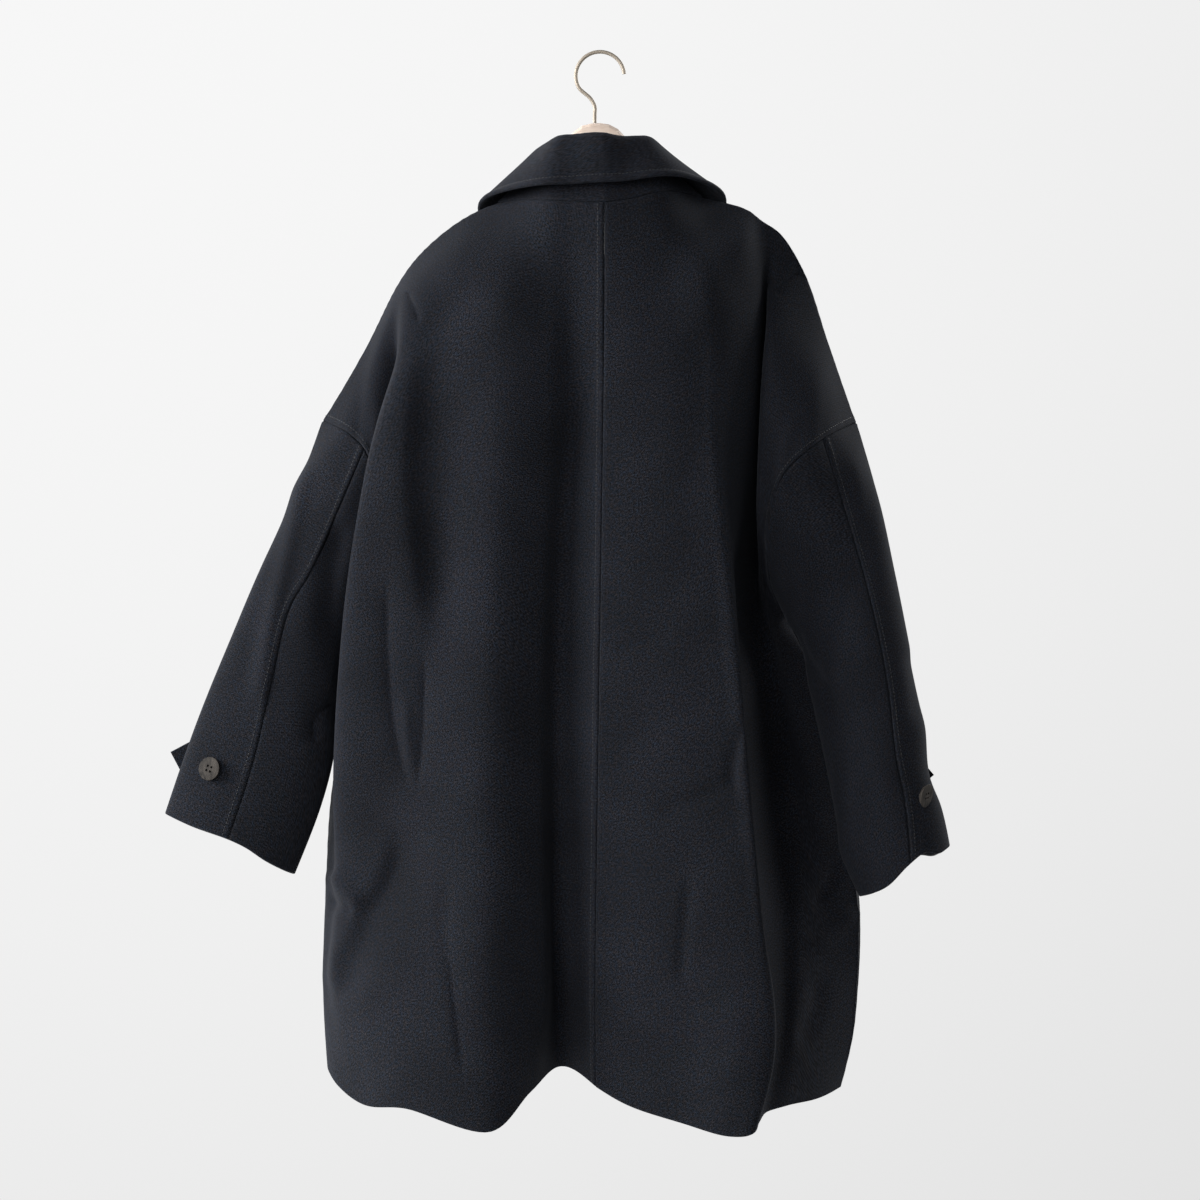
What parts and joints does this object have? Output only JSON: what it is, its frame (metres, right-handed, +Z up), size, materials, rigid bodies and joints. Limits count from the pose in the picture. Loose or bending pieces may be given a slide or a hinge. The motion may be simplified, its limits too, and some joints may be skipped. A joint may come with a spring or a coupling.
{
  "type": "collared coat on a hanger",
  "caption": "Loose knee-length coat with a turn-down collar, drop shoulders and buttoned cuffs, hanging closed on a wooden hanger with a wire hook.",
  "frame": {"origin": "inside the top of the hook's bend, where the hanger rests on what holds it", "axes": "+Z up; the coat's back faces -Y and its closed front +Y; +X is to the right as the back is looked at"},
  "size_m": [0.741, 0.2232, 1.0098],
  "materials": {
    "wool_shell": "matt charcoal twill",
    "horn": "grey-brown horn look, satin",
    "pale_wood": "pale, satin",
    "satin_steel": "satin wire"
  },
  "bodies": {
    "root": {"back_left": "wool_shell", "back_right": "wool_shell", "front_left": "wool_shell", "front_right": "wool_shell", "collar_fall": "wool_shell", "collar_stand": "wool_shell", "sleeve_left_top": "wool_shell", "sleeve_left_under": "wool_shell", "sleeve_right_top": "wool_shell", "sleeve_right_under": "wool_shell", "cuff_tab_left": "wool_shell", "cuff_tab_right": "wool_shell", "cuff_button_left": "horn", "cuff_button_right": "horn", "hanger": "pale_wood", "hanger_hook": "satin_steel"}
  },
  "joints": []
}
